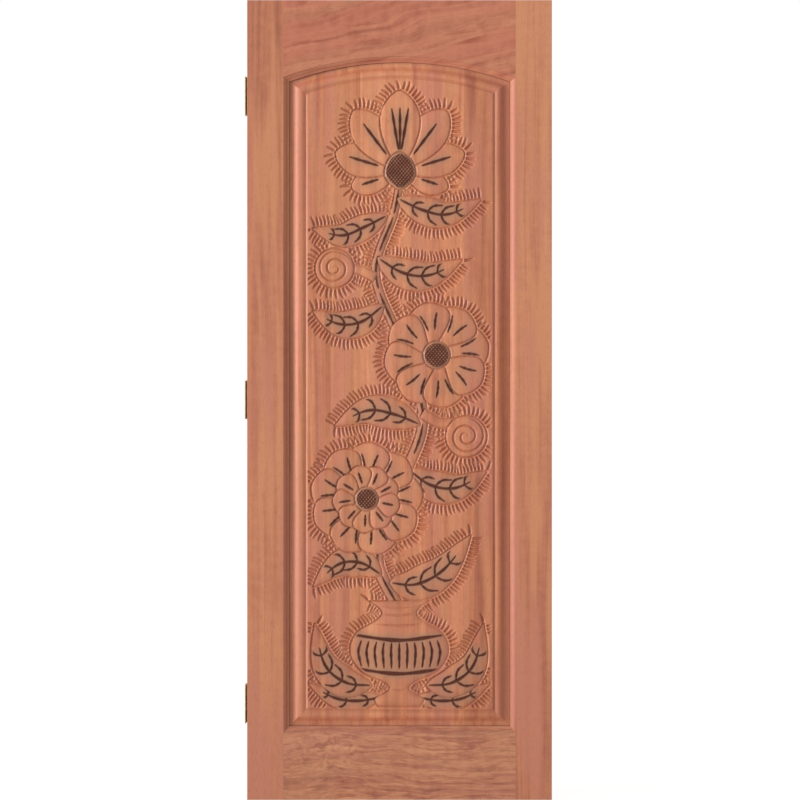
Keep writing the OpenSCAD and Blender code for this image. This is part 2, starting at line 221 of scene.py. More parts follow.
def shown(name, mesh, material, smooth=30):
    """Puts a finished mesh in the scene, smooth but for its sharp edges."""
    mesh.materials.clear()
    mesh.materials.append(material)
    mesh.shade_smooth()
    mesh.set_sharp_from_angle(angle=radians(smooth))
    piece = bpy.data.objects.new(name, mesh)
    bpy.context.scene.collection.objects.link(piece)
    return piece


def outer_planes(edge):
    """How many of the leaf's own outer faces an edge lies on."""
    sides = ((0, -LEAF_W / 2), (0, LEAF_W / 2), (1, -LEAF_T / 2), (1, LEAF_T / 2), (2, 0), (2, LEAF_H))
    return sum(all(abs(v.co[axis] - at * MM) < 2e-5 for v in edge.verts) for axis, at in sides)


def eased(node, name, material, body=DOOR, arris=ARRIS, fine=FINE_ARRIS, sharpest=50):
    """Copy of a CAD node with its outward arrises rounded: the leaf's own more, joints less."""
    rough = bmesh.new()
    rough.from_mesh(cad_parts[node].data)
    bmesh.ops.remove_doubles(rough, verts=rough.verts, dist=5e-6)
    bmesh.ops.dissolve_limit(rough, angle_limit=radians(0.4), verts=rough.verts, edges=rough.edges)
    rough.verts.index_update()
    clean = bpy.data.meshes.new(name)
    clean.from_pydata([v.co[:] for v in rough.verts], [], [[v.index for v in f.verts] for f in rough.faces])
    rough.free()
    work = bmesh.new()
    work.from_mesh(clean)
    for width, outer in ((arris, True), (fine, False)):
        edges = [e for e in work.edges if e.is_manifold and e.is_convex
                 and e.calc_face_angle(0) > radians(sharpest) and (outer_planes(e) > 1) == outer]
        if width and edges:
            bmesh.ops.bevel(work, geom=edges, offset=width * MM, offset_type="OFFSET", segments=3 if outer else 2,
                            profile=0.5, affect="EDGES", clamp_overlap=True)
    # an arris that has no room ends up thinner than a hair, and closes again
    bmesh.ops.remove_doubles(work, verts=work.verts, dist=3e-6)
    work.to_mesh(clean)
    work.free()
    piece = shown(name, clean, material)
    piece.modifiers.new("flat faces stay flat", "WEIGHTED_NORMAL").keep_sharp = True
    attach(piece, body)
    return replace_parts(piece, node)


for node, tones, heart, seed, fade in (
        ("hinge_stile", ("#c9865f", "#bc7753", "#b26b4b", "#9a583c"), (150, -210), 1.3, -0.4),
        ("lock_stile", ("#cc8963", "#be7956", "#b46e4e", "#98563c"), (-120, -170), 4.9, 0.3)):
    # the slope tint darkens the mouldings with painted shade, partly oil
    wood = sawn_wood("oiled mahogany, " + node.replace("_", " "), tones, ("#c6835a", "#bc755c"), "Z", heart, seed,
                     0.4, 0.5, hue=0.8, ripple=0.5, fade=fade, oil_and_shade_tint="#cb8c6c")
    eased(node, node + "_wood", wood)

# Rails: the cross pieces between the stiles, of the same mahogany with the grain lying across.
# The top one is cut from wild wood whose streaks rise to the right, the bottom one has a rippled corner.
for node, tones, heart, seed, more in (
        ("top_rail", ("#c27b59", "#b66d50", "#aa6247", "#91462c"), (2160, -60), 8.1,
         dict(hues=("#bd7c5a", "#be6c53"), sweep=0.24, sway=16, rings=0.3, ripple=1.0, streaks=0.6, dark=1.2)),
        ("bottom_rail", ("#ce8f6a", "#bd7c59", "#ab694d", "#844630"), (60, -260), 12.7,
         dict(hues=("#bb805c", "#b06e58"), curl=(190, 128, 85, 2.6), sway=14, rings=0.4, ripple=0.6, streaks=0.45,
              dark=0.3, flame=1.3))):
    wood = sawn_wood("oiled mahogany, " + node.replace("_", " "), tones, along="X", heart=heart, seed=seed, **more)
    eased(node, node + "_wood", wood)

# Panel boards: five boards of mahogany, glued edge to edge and floating in the frame's groove.
# The raised field is carved in low relief: forms are outlined with a V-cut and rounded over, the
# ground beside them is marked with a gouge, and veins and dots are burned in.
ARCH_R = 873.18
ARCH_Z = 1952 - ARCH_R
RAIL_TOP = 178
PANEL_GAP = 3
FIELD_EDGE = 60
FIELD_HALF, FIELD_LOW, FIELD_TOP = 248.0, 235.0, 1896.0
CELL = 1.2

# the carving is drawn on a field of cells: how deep each is cut, how charred it is, and whether it is worked
across = np.arange(-FIELD_HALF, FIELD_HALF + 0.1, CELL)
upward = np.arange(FIELD_LOW, FIELD_TOP, CELL)
depth = np.zeros((len(upward), len(across)))
char = np.zeros_like(depth)
worked = np.zeros(depth.shape, bool)
outlines = []


def cells(line, low, high):
    """Slice of the field's cells between two places."""
    first, last = np.searchsorted(line, (low, high))
    return slice(max(int(first) - 1, 0), int(last) + 1)


def near(path, reach):
    """Window of the field round a path, with the distance to the path and the place along it."""
    p = np.asarray(path, float)
    win = (cells(upward, p[:, 1].min() - reach, p[:, 1].max() + reach),
           cells(across, p[:, 0].min() - reach, p[:, 0].max() + reach))
    far = np.full(depth[win].shape, 1e3)
    place = np.zeros_like(far)
    run = np.concatenate([[0], np.cumsum(np.hypot(*np.diff(p, axis=0).T))])
    for a, b, start, end in zip(p[:-1], p[1:], run[:-1], run[1:]):
        if end <= start:
            continue
        part = (cells(upward[win[0]], min(a[1], b[1]) - reach, max(a[1], b[1]) + reach),
                cells(across[win[1]], min(a[0], b[0]) - reach, max(a[0], b[0]) + reach))
        dx = across[win[1]][part[1]][None] - a[0]
        dz = upward[win[0]][part[0]][:, None] - a[1]
        u = np.clip((dx * (b[0] - a[0]) + dz * (b[1] - a[1])) / (end - start)**2, 0, 1)
        d = np.hypot(dx - u * (b[0] - a[0]), dz - u * (b[1] - a[1]))
        closer = d < far[part]
        far[part] = np.where(closer, d, far[part])
        place[part] = np.where(closer, (start + u * (end - start)) / run[-1], place[part])
    return win, far, place


def inside(outline, win):
    """Cells of a window that lie inside a closed outline."""
    x, z = across[win[1]], upward[win[0]]
    hit = np.zeros((len(z), len(x)), bool)
    for (x1, z1), (x2, z2) in zip(outline, np.roll(outline, -1, axis=0)):
        rows = (z > min(z1, z2)) & (z <= max(z1, z2))
        if rows.any():
            hit[rows] ^= x[None] > (x1 + (z[rows] - z1) * (x2 - x1) / (z2 - z1))[:, None]
    return hit


def bend(points, closed=False, steps=9):
    """Smooth line through a few points."""
    p = np.asarray(points, float)
    p = np.vstack([p[-1], p, p[:2]]) if closed else np.vstack([2 * p[0] - p[1], p, 2 * p[-1] - p[-2]])
    t = np.linspace(0, 1, steps, endpoint=False)[:, None]
    out = [0.5 * (2 * b + (c - a) * t + (2 * a - 5 * b + 4 * c - d) * t**2 + (3 * b - a - 3 * c + d) * t**3)
           for a, b, c, d in zip(p[:-3], p[1:-2], p[2:-1], p[3:])]
    return np.vstack(out if closed else out + [p[-2:-1]])


def heading(spine):
    """Direction along a line at each of its points."""
    way = np.gradient(spine, axis=0)
    return way / np.maximum(np.hypot(*way.T), 1e-6)[:, None]


def carve(outline, crown=2.3, cut=3.7, marked=True):
    """Lays a rounded form over what is carved so far, with a V-cut round it, and gives its inside."""
    win, far, _ = near(np.vstack([outline, outline[:1]]), 26)
    into = inside(outline, win)
    inner = np.maximum(cut * np.clip(1 - far / 4.8, 0, 1)**1.2, crown * np.exp(-far / 11.0))
    outer = cut * np.clip(1 - far / 3.0, 0, 1)
    depth[win] = np.where(into, inner, np.maximum(depth[win], outer))
    char[win] = np.where(into, 0, char[win])
    worked[win] |= into
    if marked:
        outlines.append(outline)
    mask = np.zeros_like(depth)
    mask[win] = into * np.clip((far - 4) / 2, 0, 1)
    return mask


def vcut(path, mask, width=3.2, cut=2.4):
    """Line cut with a parting tool, which runs out at both ends."""
    win, far, place = near(path, width + 2)
    taper = np.clip(np.minimum(place, 1 - place) * 7 + 0.35, 0, 1)
    depth[win] = np.maximum(depth[win], cut * taper * np.clip(1 - far / (width * taper), 0, 1) * mask[win])


def burn(path, mask, width=3.8, cut=1.8, seed=0):
    """Burned line, thickest in its middle."""
    win, far, place = near(path, width + 3)
    half = width * (0.35 + 0.75 * np.sin(place * pi)**0.5) * (1 + 0.14 * np.sin(place * 19 + seed * 2.1))
    depth[win] = np.maximum(depth[win], cut * np.clip(1 - (far / half)**2, 0, 1) * mask[win])
    char[win] = np.maximum(char[win], np.clip((half - far) / 1.3 + 0.5, 0, 1) * mask[win])


def band(spine, width):
    """Outline along a spine, its width at each place given by a function of 0 to 1."""
    way = heading(spine)
    half = np.array([width(t) / 2 for t in np.linspace(0, 1, len(spine))])[:, None]
    side = np.stack([-way[:, 1], way[:, 0]], 1) * half
    return np.vstack([spine + side, (spine - side)[::-1]])


def leaf(points, width=66, veins=4, widest=0.86):
    """Pointed leaf with a burned midrib and side veins."""
    spine = bend(points)
    full = lambda t: width * max(sin(pi * t**widest), 0.02)**0.8
    mask = carve(band(spine, full))
    count, way = len(spine), heading(spine)
    burn(spine[int(count * 0.06):int(count * 0.85)], mask, 3.7)
    for k in range(veins):
        i = int(count * (0.2 + 0.54 * k / max(veins - 1, 1)))
        reach = full(i / count) * 0.36
        for side in (-1, 1):
            out = np.array([-way[i][1], way[i][0]]) * side
            burn(bend([spine[i] + way[i] * 2, spine[i] + (way[i] * 0.55 + out * 0.72) * reach,
                       spine[i] + (way[i] * 1.35 + out * 1.02) * reach], steps=5), mask, 3.1, seed=k)


def spot(x, z, turn, r):
    """Place at a distance from a middle, in a direction."""
    return x + r * cos(turn), z + r * sin(turn)


def petal(x, z, turn, inner, outer, width, widest=0.66):
    """Petal that points away from a flower's middle."""
    t = np.sin(np.linspace(0, pi / 2, 15))**1.3
    half = width / 2 * np.maximum(np.sin(pi * t**(np.log(0.5) / np.log(widest)))**0.62, 0.3 * (1 - t)**2)
    r = inner + (outer - inner) * t
    p = np.vstack([np.stack([r, half], 1), np.stack([r, -half], 1)[::-1]])
    return np.stack([x + p[:, 0] * cos(turn) - p[:, 1] * sin(turn),
                     z + p[:, 0] * sin(turn) + p[:, 1] * cos(turn)], 1)


def disc(x, z, r):
    """Round outline."""
    a = np.linspace(0, 2 * pi, 40, endpoint=False)
    return np.stack([x + r * np.cos(a), z + r * np.sin(a)], 1)


def hatched(outline, pitch=6.8):
    """Small form darkened with crossed burned lines."""
    mask = carve(outline, 0.5, marked=False)
    middle = (outline.min(0) + outline.max(0)) / 2
    reach = float(np.hypot(*(outline.max(0) - outline.min(0)))) / 2
    for way in (radians(50), radians(-50)):
        on, off = np.array([cos(way), sin(way)]), np.array([-sin(way), cos(way)])
        for k in np.arange(-reach, reach, pitch):
            burn(np.array([middle + off * k - on * reach, middle + off * k, middle + off * k + on * reach]),
                 mask, 2.1, 1.3)


def flower(x, z, r, petals, turn, rings, heart):
    """Round flower: rings of petals from the outside in, then its hatched heart."""
    for ring, (inner, outer) in enumerate(rings):
        for i in range(petals):
            a = turn + 2 * pi * (i + 0.5 * ring) / petals
            width = 2 * pi * r * outer / petals * 1.02
            mask = carve(petal(x, z, a, r * inner, r * outer, width), 1.5, marked=ring == 0)
            if ring:
                burn(bend([spot(x, z, a, r * (heart + 0.07)), spot(x, z, a + 0.02, r * outer * 0.8)], steps=4),
                     mask, 3.2, seed=i)
                continue
            for off in (-0.42, 0.42):
                w = off * pi / petals
                burn(bend([spot(x, z, a + w * 0.8, r * (inner + 0.34)), spot(x, z, a + w, r * 0.66),
                           spot(x, z, a + w * 1.25, r * 0.8)], steps=5), mask, 3.1, seed=i)
    hatched(disc(x, z, r * heart))


def tendril(points, x, z, r, turns, way, start, width=22):
    """Side shoot that rolls up into a flat coil."""
    carve(band(bend(list(points) + [spot(x, z, start, r * 0.8)]), lambda t: width * (1 - 0.25 * t)))
    carve(disc(x, z, r), 1.0)
    t = np.linspace(0, 1, int(turns * 22))
    a, coil = start + way * 2 * pi * turns * t, (r - 3) * (1 - 0.95 * t**0.92)
    vcut(np.stack([x + coil * np.cos(a), z + coil * np.sin(a)], 1), np.ones_like(depth), 3.8, 3.0)


def open_ground(x, z):
    """Whether a place lies on the field, clear of every carved form."""
    rim = min(STILE_IN - abs(x), z - RAIL_TOP, ARCH_R - hypot(x, z - ARCH_Z) if z > ARCH_Z else 1e3)
    if rim < FIELD_EDGE + 4:
        return False
    i, j = int(round((z - upward[0]) / CELL)), int(round((x - across[0]) / CELL))
    return not (worked[max(i - 2, 0):i + 3:2, j].any() or worked[i, max(j - 2, 0):j + 3:2].any())


def gouge_marks(pitch=9.2, start=6.6, length=20.0):
    """Short gouge marks square to every outline, where the ground is open."""
    for outline in outlines:
        p = np.vstack([outline, outline[:1]])
        run = np.concatenate([[0], np.cumsum(np.hypot(*np.diff(p, axis=0).T))])
        turn = np.sign(np.sum(p[:-1, 0] * p[1:, 1] - p[1:, 0] * p[:-1, 1]))
        count = int(run[-1] / pitch)
        at = (np.arange(count) + 0.5) * run[-1] / count
        here = np.stack([np.interp(at, run, p[:, i]) for i in (0, 1)], 1)
        way = np.stack([np.interp((at + 5) % run[-1], run, p[:, i]) - np.interp((at - 5) % run[-1], run, p[:, i])
                        for i in (0, 1)], 1)
        way /= np.maximum(np.hypot(*way.T), 1e-6)[:, None]
        for k in range(count):
            out = np.array([way[k, 1], -way[k, 0]]) * turn
            lean = np.array([-out[1], out[0]]) * (0.16 + 0.08 * sin(k * 2.4))
            reach = np.linspace(start, start + length * (1 + 0.1 * sin(k * 1.7)), 8)
            clear = 0
            places = here[k] + out * reach[:, None] + lean * ((reach - start)**2 / length)[:, None]
            while clear < 8 and open_ground(*places[clear]):
                clear += 1
            if clear < 3:
                continue
            win, far, place = near(places[:clear], 6)
            half = 4.1 * (1 - 0.3 * place**2)
            mark = 3.5 * (1 - 0.4 * place**2) * np.clip(1 - (far / half)**1.8, 0, 1)
            depth[win] = np.maximum(depth[win], mark)


# the stem that winds up the field, and its leaves and coils
stem = bend([(0, 500), (-58, 640), (0, 820), (62, 1000), (4, 1200), (-62, 1380), (-14, 1540), (4, 1640)], steps=14)
mask = carve(band(stem, lambda t: 32 - 13 * t))
# its burned strokes run from one hundredth of its length to another, between the leaves
for first, last in ((2, 9), (11, 16), (36, 41), (43, 48), (60, 66), (68, 74), (76, 83), (85, 92)):
    burn(stem[first * len(stem) // 100:last * len(stem) // 100 + 2], mask, 3.2)
for points, width in (
        (((-46, 590), (-100, 622), (-160, 618), (-226, 560)), 80),
        (((-26, 570), (44, 566), (116, 604), (188, 694)), 92),
        (((22, 868), (84, 826), (152, 820), (230, 862)), 84),
        (((56, 985), (-12, 1012), (-84, 1022), (-170, 982)), 84),
        (((-40, 1300), (-98, 1256), (-160, 1250), (-228, 1284)), 76),
        (((-58, 1424), (10, 1384), (80, 1378), (166, 1418)), 82),
        (((-30, 1536), (-92, 1504), (-152, 1482), (-228, 1500)), 70),
        (((-6, 1580), (64, 1548), (130, 1538), (216, 1576)), 76)):
    leaf(points, width)
tendril([(60, 1016), (108, 990), (150, 992)], 176, 954, 55, 2.4, -1, 1.9, 28)
tendril([(-62, 1372), (-100, 1390), (-130, 1396)], -170, 1396, 52, 2.4, 1, 0.2, 26)

# the open flower at its top
top_x, top_z = 2, 1648
for turn, length, width in ((198, 134, 68), (-18, 134, 68), (163, 178, 88), (17, 178, 88), (127, 204, 98),
                            (53, 204, 98), (90, 216, 108)):
    mask = carve(petal(top_x, top_z, radians(turn), 6, length, width, 0.6), 1.6)
    for off in ((-0.13, 0.0, 0.13) if turn == 90 else (0.0,)):
        burn(bend([spot(top_x, top_z, radians(turn) + off * 0.5, 60),
                   spot(top_x, top_z, radians(turn) + off, length * 0.78)], steps=6), mask, 3.6)
cup = bend([(-40, -12), (-32, 32), (0, 54), (32, 32), (40, -12), (0, -46)], closed=True) + (top_x, top_z)
outlines.append(cup)
hatched(cup)

# the two round flowers
flower(-86, 790, 150, 9, 0.1, ((0.2, 1.0), (0.12, 0.6)), 0.21)
flower(98, 1168, 140, 8, 0.2, ((0.14, 1.0),), 0.26)

# the footed vase between its leaves
for side in (-1, 1):
    leaf([(side * 44, 270), (side * 108, 260), (side * 170, 268), (side * 240, 306)], 56, 3)
    leaf([(side * 70, 300), (side * 140, 308), (side * 196, 356), (side * 222, 462)], 84)
half = bend([(56, 246), (64, 266), (28, 288), (38, 308), (100, 338), (130, 388), (114, 438), (66, 468), (46, 490),
             (60, 510), (80, 522)], steps=6)
mask = carve(np.vstack([half, half[::-1] * (-1, 1)]), 2.6)
for z, w in ((462, 74), (488, 46), (292, 30), (508, 60)):
    vcut(np.array([(-w, z), (0, z - 5), (w, z)]), mask)
for z in (344, 432):
    burn(bend([(-126, z + 2), (0, z - 13), (126, z + 2)], steps=10), mask, 4.6)
for i in range(-5, 6):
    dip = 9 * cos(i / 4)
    burn(bend([(i * 20, 354 - dip), (i * 21.5, 388), (i * 20, 421 - dip)], steps=5), mask, 3.3, seed=i)
gouge_marks()

# smoke from the burning iron settles a centimetre wide round the burned lines
soft = np.exp(-(np.arange(-20, 21) * CELL / 8.5)**2 / 2)
smoke = np.array([np.convolve(line, soft / soft.sum(), "same") for line in char])
smoke = np.array([np.convolve(line, soft / soft.sum(), "same") for line in smoke.T]).T
smoke = np.clip(smoke * 2.6, 0, 1) * worked


def ogee(start, end, swing, steps=12):
    """Points in section from one corner of a moulding to another, steepest in the middle."""
    t = np.linspace(0, 1, steps + 1)
    rise = t - swing * np.sin(2 * pi * t) / (2 * pi)
    return list(zip(start[0] + (end[0] - start[0]) * t, start[1] + (end[1] - start[1]) * rise))


# the panel's edge in section: distance in from the frame's opening, height from the middle plane
TONGUE, SHOULDER, FIELD = 6.0, 9.0, 17.0
LIP, FLAT_END, BEVEL_END, SECTION_END = 15.1, 22, 44.5, 600
HALF_GROOVE, GROOVE_DEPTH = 6, 2.2
GROOVE_PIT = FIELD_EDGE - HALF_GROOVE
GROOVE_START = GROOVE_PIT - HALF_GROOVE
bevel = [(0, TONGUE), (LIP, TONGUE), (LIP + 0.1, SHOULDER)]
bevel += ogee((FLAT_END, SHOULDER), (BEVEL_END, FIELD), 0.5) + [(SECTION_END, FIELD)]
with_groove = bevel[:-1] + [(GROOVE_START, FIELD), (GROOVE_PIT, FIELD - GROOVE_DEPTH), (FIELD_EDGE, FIELD), bevel[-1]]
fine = np.arange(0, SECTION_END, 0.1)


def softened(section, reach=0.8):
    """Heights along a section whose corners are rubbed round, but for those under the frame's lip."""
    height = np.interp(fine, *np.array(section).T)
    span = int(reach / 0.1)
    kernel = np.ones(2 * span + 1) / (2 * span + 1)
    return np.where(fine < LIP, TONGUE, np.convolve(np.pad(height, span, mode="edge"), kernel, "valid"))


# the top of the bevel is rubbed rounder than the groove
front_height = softened(with_groove, 0.7)
back_height = softened(bevel)
# the rows and columns of the edge lie closest where the section turns
steps = sorted({PANEL_GAP, 12, 15, 15.15, 15.4, 15.8, 16.2, 19, 46, 47.5, 48.5, 50.4, 53.2, GROOVE_PIT, 54.4, 55.2,
                56, 57, 57.8, 58.6, 59.4, FIELD_EDGE, 60.8, 62, 63.8} | {round(e, 2) for e, _ in bevel[3:-1]})


def inwards(x, z):
    """Distance of places from the edge of the opening that the stiles and rails frame."""
    arch = np.where(z > ARCH_Z, ARCH_R - np.hypot(x, z - ARCH_Z), 1e3)
    return np.minimum(np.minimum(STILE_IN - np.abs(x), z - RAIL_TOP), arch)


def arch_line(x, e):
    """Height of the arch at a distance in from the opening."""
    return ARCH_Z + np.sqrt((ARCH_R - e)**2 - x**2)


def sample(field, x, z):
    """Values of a carved field between its cells, nothing outside it."""
    u = np.clip((x - across[0]) / CELL, 0, len(across) - 1.001)
    v = np.clip((z - upward[0]) / CELL, 0, len(upward) - 1.001)
    i, j = u.astype(int), v.astype(int)
    u, v = u - i, v - j
    return ((field[j, i] * (1 - u) + field[j, i + 1] * u) * (1 - v)
            + (field[j + 1, i] * (1 - u) + field[j + 1, i + 1] * u) * v)


def board_grid(left, right, cell, first, last):
    """Places of a board's face: columns that follow the panel's sides, rows that follow bottom and arch."""
    low = [-STILE_IN + e for e in steps] if first else [left]
    high = [STILE_IN - e for e in reversed(steps)] if last else [right]
    count = max(int(round((high[0] - low[-1]) / cell)), 1)
    x = np.array(low + list(np.linspace(low[-1], high[0], count + 1)[1:-1]) + high)
    rows = int(round((arch_line(0, steps[-1]) - RAIL_TOP - steps[-1]) / cell))
    bottom = np.array([0] + steps)[:, None] + RAIL_TOP + 0 * x[None]
    top = np.array([arch_line(x, e) for e in reversed(steps)])
    t = np.linspace(0, 1, rows + 1)[1:-1, None]
    z = np.vstack([bottom, bottom[-1:] * (1 - t) + top[:1] * t, top])
    return np.broadcast_to(x, z.shape), z


def carved_face(x, z, e):
    """Height of the front by its section alone, and its Y with the carving cut into it."""
    # cut by hand, the groove is wider towards the left
    lefty, righty = np.clip(-x / FIELD_HALF, 0, 1), np.clip(x / FIELD_HALF, 0, 1)
    start = GROOVE_START + 2 * lefty + 1.5 * righty
    pit = GROOVE_PIT + 5.5 * lefty + 0.4 * righty
    end = FIELD_EDGE + 3.9 * lefty + 0.8 * righty
    drawn = np.where(e < pit, GROOVE_START + (e - start) * HALF_GROOVE / (pit - start),
                     GROOVE_PIT + (e - pit) * HALF_GROOVE / (end - pit))
    drawn = np.where(e < start, np.minimum(e, GROOVE_START), drawn)
    shape = np.interp(drawn, fine, front_height)
    return shape, -(shape - sample(depth, x, z) * np.clip((drawn - FIELD_EDGE) / 1.2, 0, 1))


def laced(near_line, far_line, near_at, far_at):
    """Strip of triangles between two lines of points that run the same way."""
    i, j, faces = 0, 0, []
    while i < len(near_line) - 1 or j < len(far_line) - 1:
        if j == len(far_line) - 1 or (i < len(near_line) - 1 and near_at[i + 1] <= far_at[j + 1]):
            faces.append((near_line[i], near_line[i + 1], far_line[j]))
            i += 1
        else:
            faces.append((near_line[i], far_line[j + 1], far_line[j]))
            j += 1
    return faces


DOWEL_R, DOWEL_L, DOWEL_ROOM = 5, 60, 1.5
DOWEL_LOW, DOWEL_HIGH = 328, 1747
HOLE_SIDES = 20
dowel_rows = [DOWEL_LOW + (DOWEL_HIGH - DOWEL_LOW) * k / 5 for k in range(6)]


def drilled_edge(verts, front_line, back_line, side):
    """Glued edge with a round hole for each dowel: all points with the holes' own, and the faces."""
    way = 1 if side == "left" else -1
    turn = np.linspace(0, 2 * pi, HOLE_SIDES, endpoint=False)
    faces, loops = [], [front_line + back_line[::-1]]
    for z0 in dowel_rows:
        ring = np.stack([0 * turn + verts[front_line[0], 0], DOWEL_R * np.cos(turn), z0 + DOWEL_R * np.sin(turn)], -1)
        mouth = list(range(len(verts), len(verts) + HOLE_SIDES))
        end = [v + HOLE_SIDES for v in mouth]
        verts = np.vstack([verts, ring, ring + (way * (DOWEL_L / 2 + DOWEL_ROOM), 0, 0)])
        loops.append(mouth)
        walls = list(zip(mouth, mouth[1:] + mouth[:1], end[1:] + end[:1], end)) + [end]
        faces += walls if way < 0 else [wall[::-1] for wall in walls]
    flat = [v for loop in loops for v in loop]
    for tri in tessellate_polygon([[Vector((verts[v, 1], verts[v, 2], 0)) for v in loop] for loop in loops]):
        a, b, c = (verts[flat[k], 1:] for k in tri)
        up = (b[0] - a[0]) * (c[1] - a[1]) - (b[1] - a[1]) * (c[0] - a[0])
        tri = tri if (up > 0) == (side == "right") else tri[::-1]
        faces.append([flat[k] for k in tri])
    return verts, faces


def board(number, left, right, cell=1.65, back_cell=14.0):
    """One board: carved front, plain back, edges with their dowel holes."""
    first, last = number == 1, number == 5
    points, faces, sides, offset = [], [], {}, 0
    for face, step in (("front", cell), ("back", back_cell)):
        x, z = board_grid(left, right, step, first, last)
        e = np.maximum(inwards(x, z), 0)
        shape, y = carved_face(x, z, e) if face == "front" else (np.interp(e, fine, back_height),) * 2
        rows, columns = x.shape
        index = offset + np.arange(rows * columns).reshape(rows, columns)
        quads = np.stack([index[:-1, :-1], index[:-1, 1:], index[1:, 1:], index[1:, :-1]], -1)
        # the squares on a mitre are halved along it
        n = len(steps)
        for r in list(range(n)) + list(range(rows - n, rows - 1)):
            for c in (list(range(n)) if first else []) + (list(range(columns - n, columns - 1)) if last else []):
                a, b, d, f = quads[r, c]
                h = [shape.flat[v - offset] for v in (a, b, d, f)]
                tri = ((a, b, d), (a, d, f)) if abs(h[0] - h[2]) >= abs(h[1] - h[3]) else ((a, b, f), (b, d, f))
                faces += [t if face == "front" else t[::-1] for t in tri]
                quads[r, c] = -1
        kept = quads.reshape(-1, 4)
        kept = kept[kept[:, 0] >= 0]
        faces += (kept if face == "front" else kept[:, ::-1]).tolist()
        points.append(np.stack([x, y, z], -1).reshape(-1, 3))
        sides[face] = {"left": index[:, 0], "right": index[:, -1], "bottom": index[0], "top": index[-1]}
        offset += rows * columns
    verts = np.vstack(points)
    for side, axis in (("bottom", 0), ("top", 0), ("left", 2), ("right", 2)):
        f, b = sides["front"][side].tolist(), sides["back"][side].tolist()
        if axis == 0 or (side == "left" and first) or (side == "right" and last):
            strip = laced(f, b, verts[f, axis], verts[b, axis])
            faces += strip if side in ("top", "left") else [t[::-1] for t in strip]
            continue
        verts, edge = drilled_edge(verts, f, b, side)
        faces += edge
    mesh = bpy.data.meshes.new("board")
    mesh.from_pydata((verts * MM).tolist(), [], faces)
    x, y, z = verts.T
    e, face_on = inwards(x, z), y < -TONGUE - 1
    # painted shade, partly finish gathered there: the front is darkened by how deep it lies in the carving and the
    # groove, and in the corner by the frame
    below = np.where(e > GROOVE_START - 1, FIELD + y, 2.4 * np.clip((25 - e) / 5, 0, 1))
    cut = np.clip(below / 3.5, 0, 1)**1.4
    for name, values in (("char", sample(char, x, z)), ("cut", cut), ("smoke", sample(smoke, x, z))):
        mesh.attributes.new(name, "FLOAT", "POINT").data.foreach_set("value", (values * face_on).astype(np.float32))
    return mesh


# the boards are of different widths and from different logs, so each has its own tones
seams = [-302, -195.8, -102.9, 36.5, 169.3, 302]
boards = (
    (("#cf865d", "#c17650", "#b46b47", "#a0583a"), (70, -240), 21.3, 0.0),
    (("#d18a5e", "#c37a51", "#b66e49", "#a25c3d"), (-300, -200), 3.7, 0.1),
    (("#dc9469", "#cf835a", "#c17650", "#ac6442"), (-90, -330), 15.2, 0.35),
    (("#d88f65", "#cb7f57", "#bc714d", "#a75f40"), (300, -260), 6.4, 0.1),
    (("#c47a52", "#b76e48", "#ab6341", "#965135"), (120, -300), 9.9, 0.0))
for number, (tones, heart, seed, fade) in enumerate(boards, 1):
    mesh = board(number, seams[number - 1], seams[number])
    # its slope tint is painted shade on the bevels and the carving, partly oil
    wood = sawn_wood(f"oiled mahogany, panel board {number}", tones, ("#c7835b", "#bf765f"), "Z", heart, seed, 0.5,
                     0.85, hue=0.6, ripple=0.45, fade=fade, carved=True, oil_and_shade_tint="#e6bb9b")
    piece = shown(f"panel_board_{number}", mesh, wood, 65)
    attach(piece, DOOR)
    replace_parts(piece, f"panel_stave_{number}")

# Dowels between the boards: fluted beech, which carries the glue, twenty-four of them in six rows.
# They line the boards up and hold the glued joints, and sit in holes bored in both edges.
def turned(profile, sides, shape=None):
    """Closed mesh turned round X from (along, radius) points that run up X; shape varies its radius."""
    turn = np.linspace(0, 2 * pi, sides, endpoint=False)
    at = np.array([p[0] for p in profile])[:, None] + 0 * turn
    r = np.array([p[1] for p in profile])[:, None] + 0 * turn
    r = shape(at, turn[None], r) if shape else r
    points = np.stack([at, r * np.cos(turn), r * np.sin(turn)], -1).reshape(-1, 3) * MM
    index = np.arange(len(profile) * sides).reshape(len(profile), sides)
    after = np.roll(index, -1, axis=1)
    faces = np.stack([index[:-1], after[:-1], after[1:], index[1:]], -1).reshape(-1, 4).tolist()
    mesh = bpy.data.meshes.new("turned")
    mesh.from_pydata(points.tolist(), [], faces + [index[0][::-1].tolist(), index[-1].tolist()])
    return mesh


def tree_for(name, sizes):
    """New node tree with its named inputs, in order, and a geometry socket at each end."""
    tree = bpy.data.node_groups.new(name, "GeometryNodeTree")
    tree.interface.new_socket("Geometry", in_out="INPUT", socket_type="NodeSocketGeometry")
    for label, kind in sizes:
        tree.interface.new_socket(label, in_out="INPUT", socket_type="NodeSocket" + kind)
    tree.interface.new_socket("Geometry", in_out="OUTPUT", socket_type="NodeSocketGeometry")
    return tree, tree.nodes.new("NodeGroupInput").outputs


def put_in_place(tree, points, given):
    """Ends a tree: one piece on each point, made real and given its material."""
    piece = add(tree, "GeometryNodeObjectInfo", {"Object": given["Piece"]}, transform_space="ORIGINAL")
    pieces = add(tree, "GeometryNodeInstanceOnPoints", {"Points": points, "Instance": piece.outputs["Geometry"]})
    solid = add(tree, "GeometryNodeRealizeInstances", {"Geometry": pieces})
    finish = add(tree, "GeometryNodeSetMaterial", {"Geometry": solid, "Material": given["Finish"]})
    add(tree, "NodeGroupOutput", {"Geometry": finish})


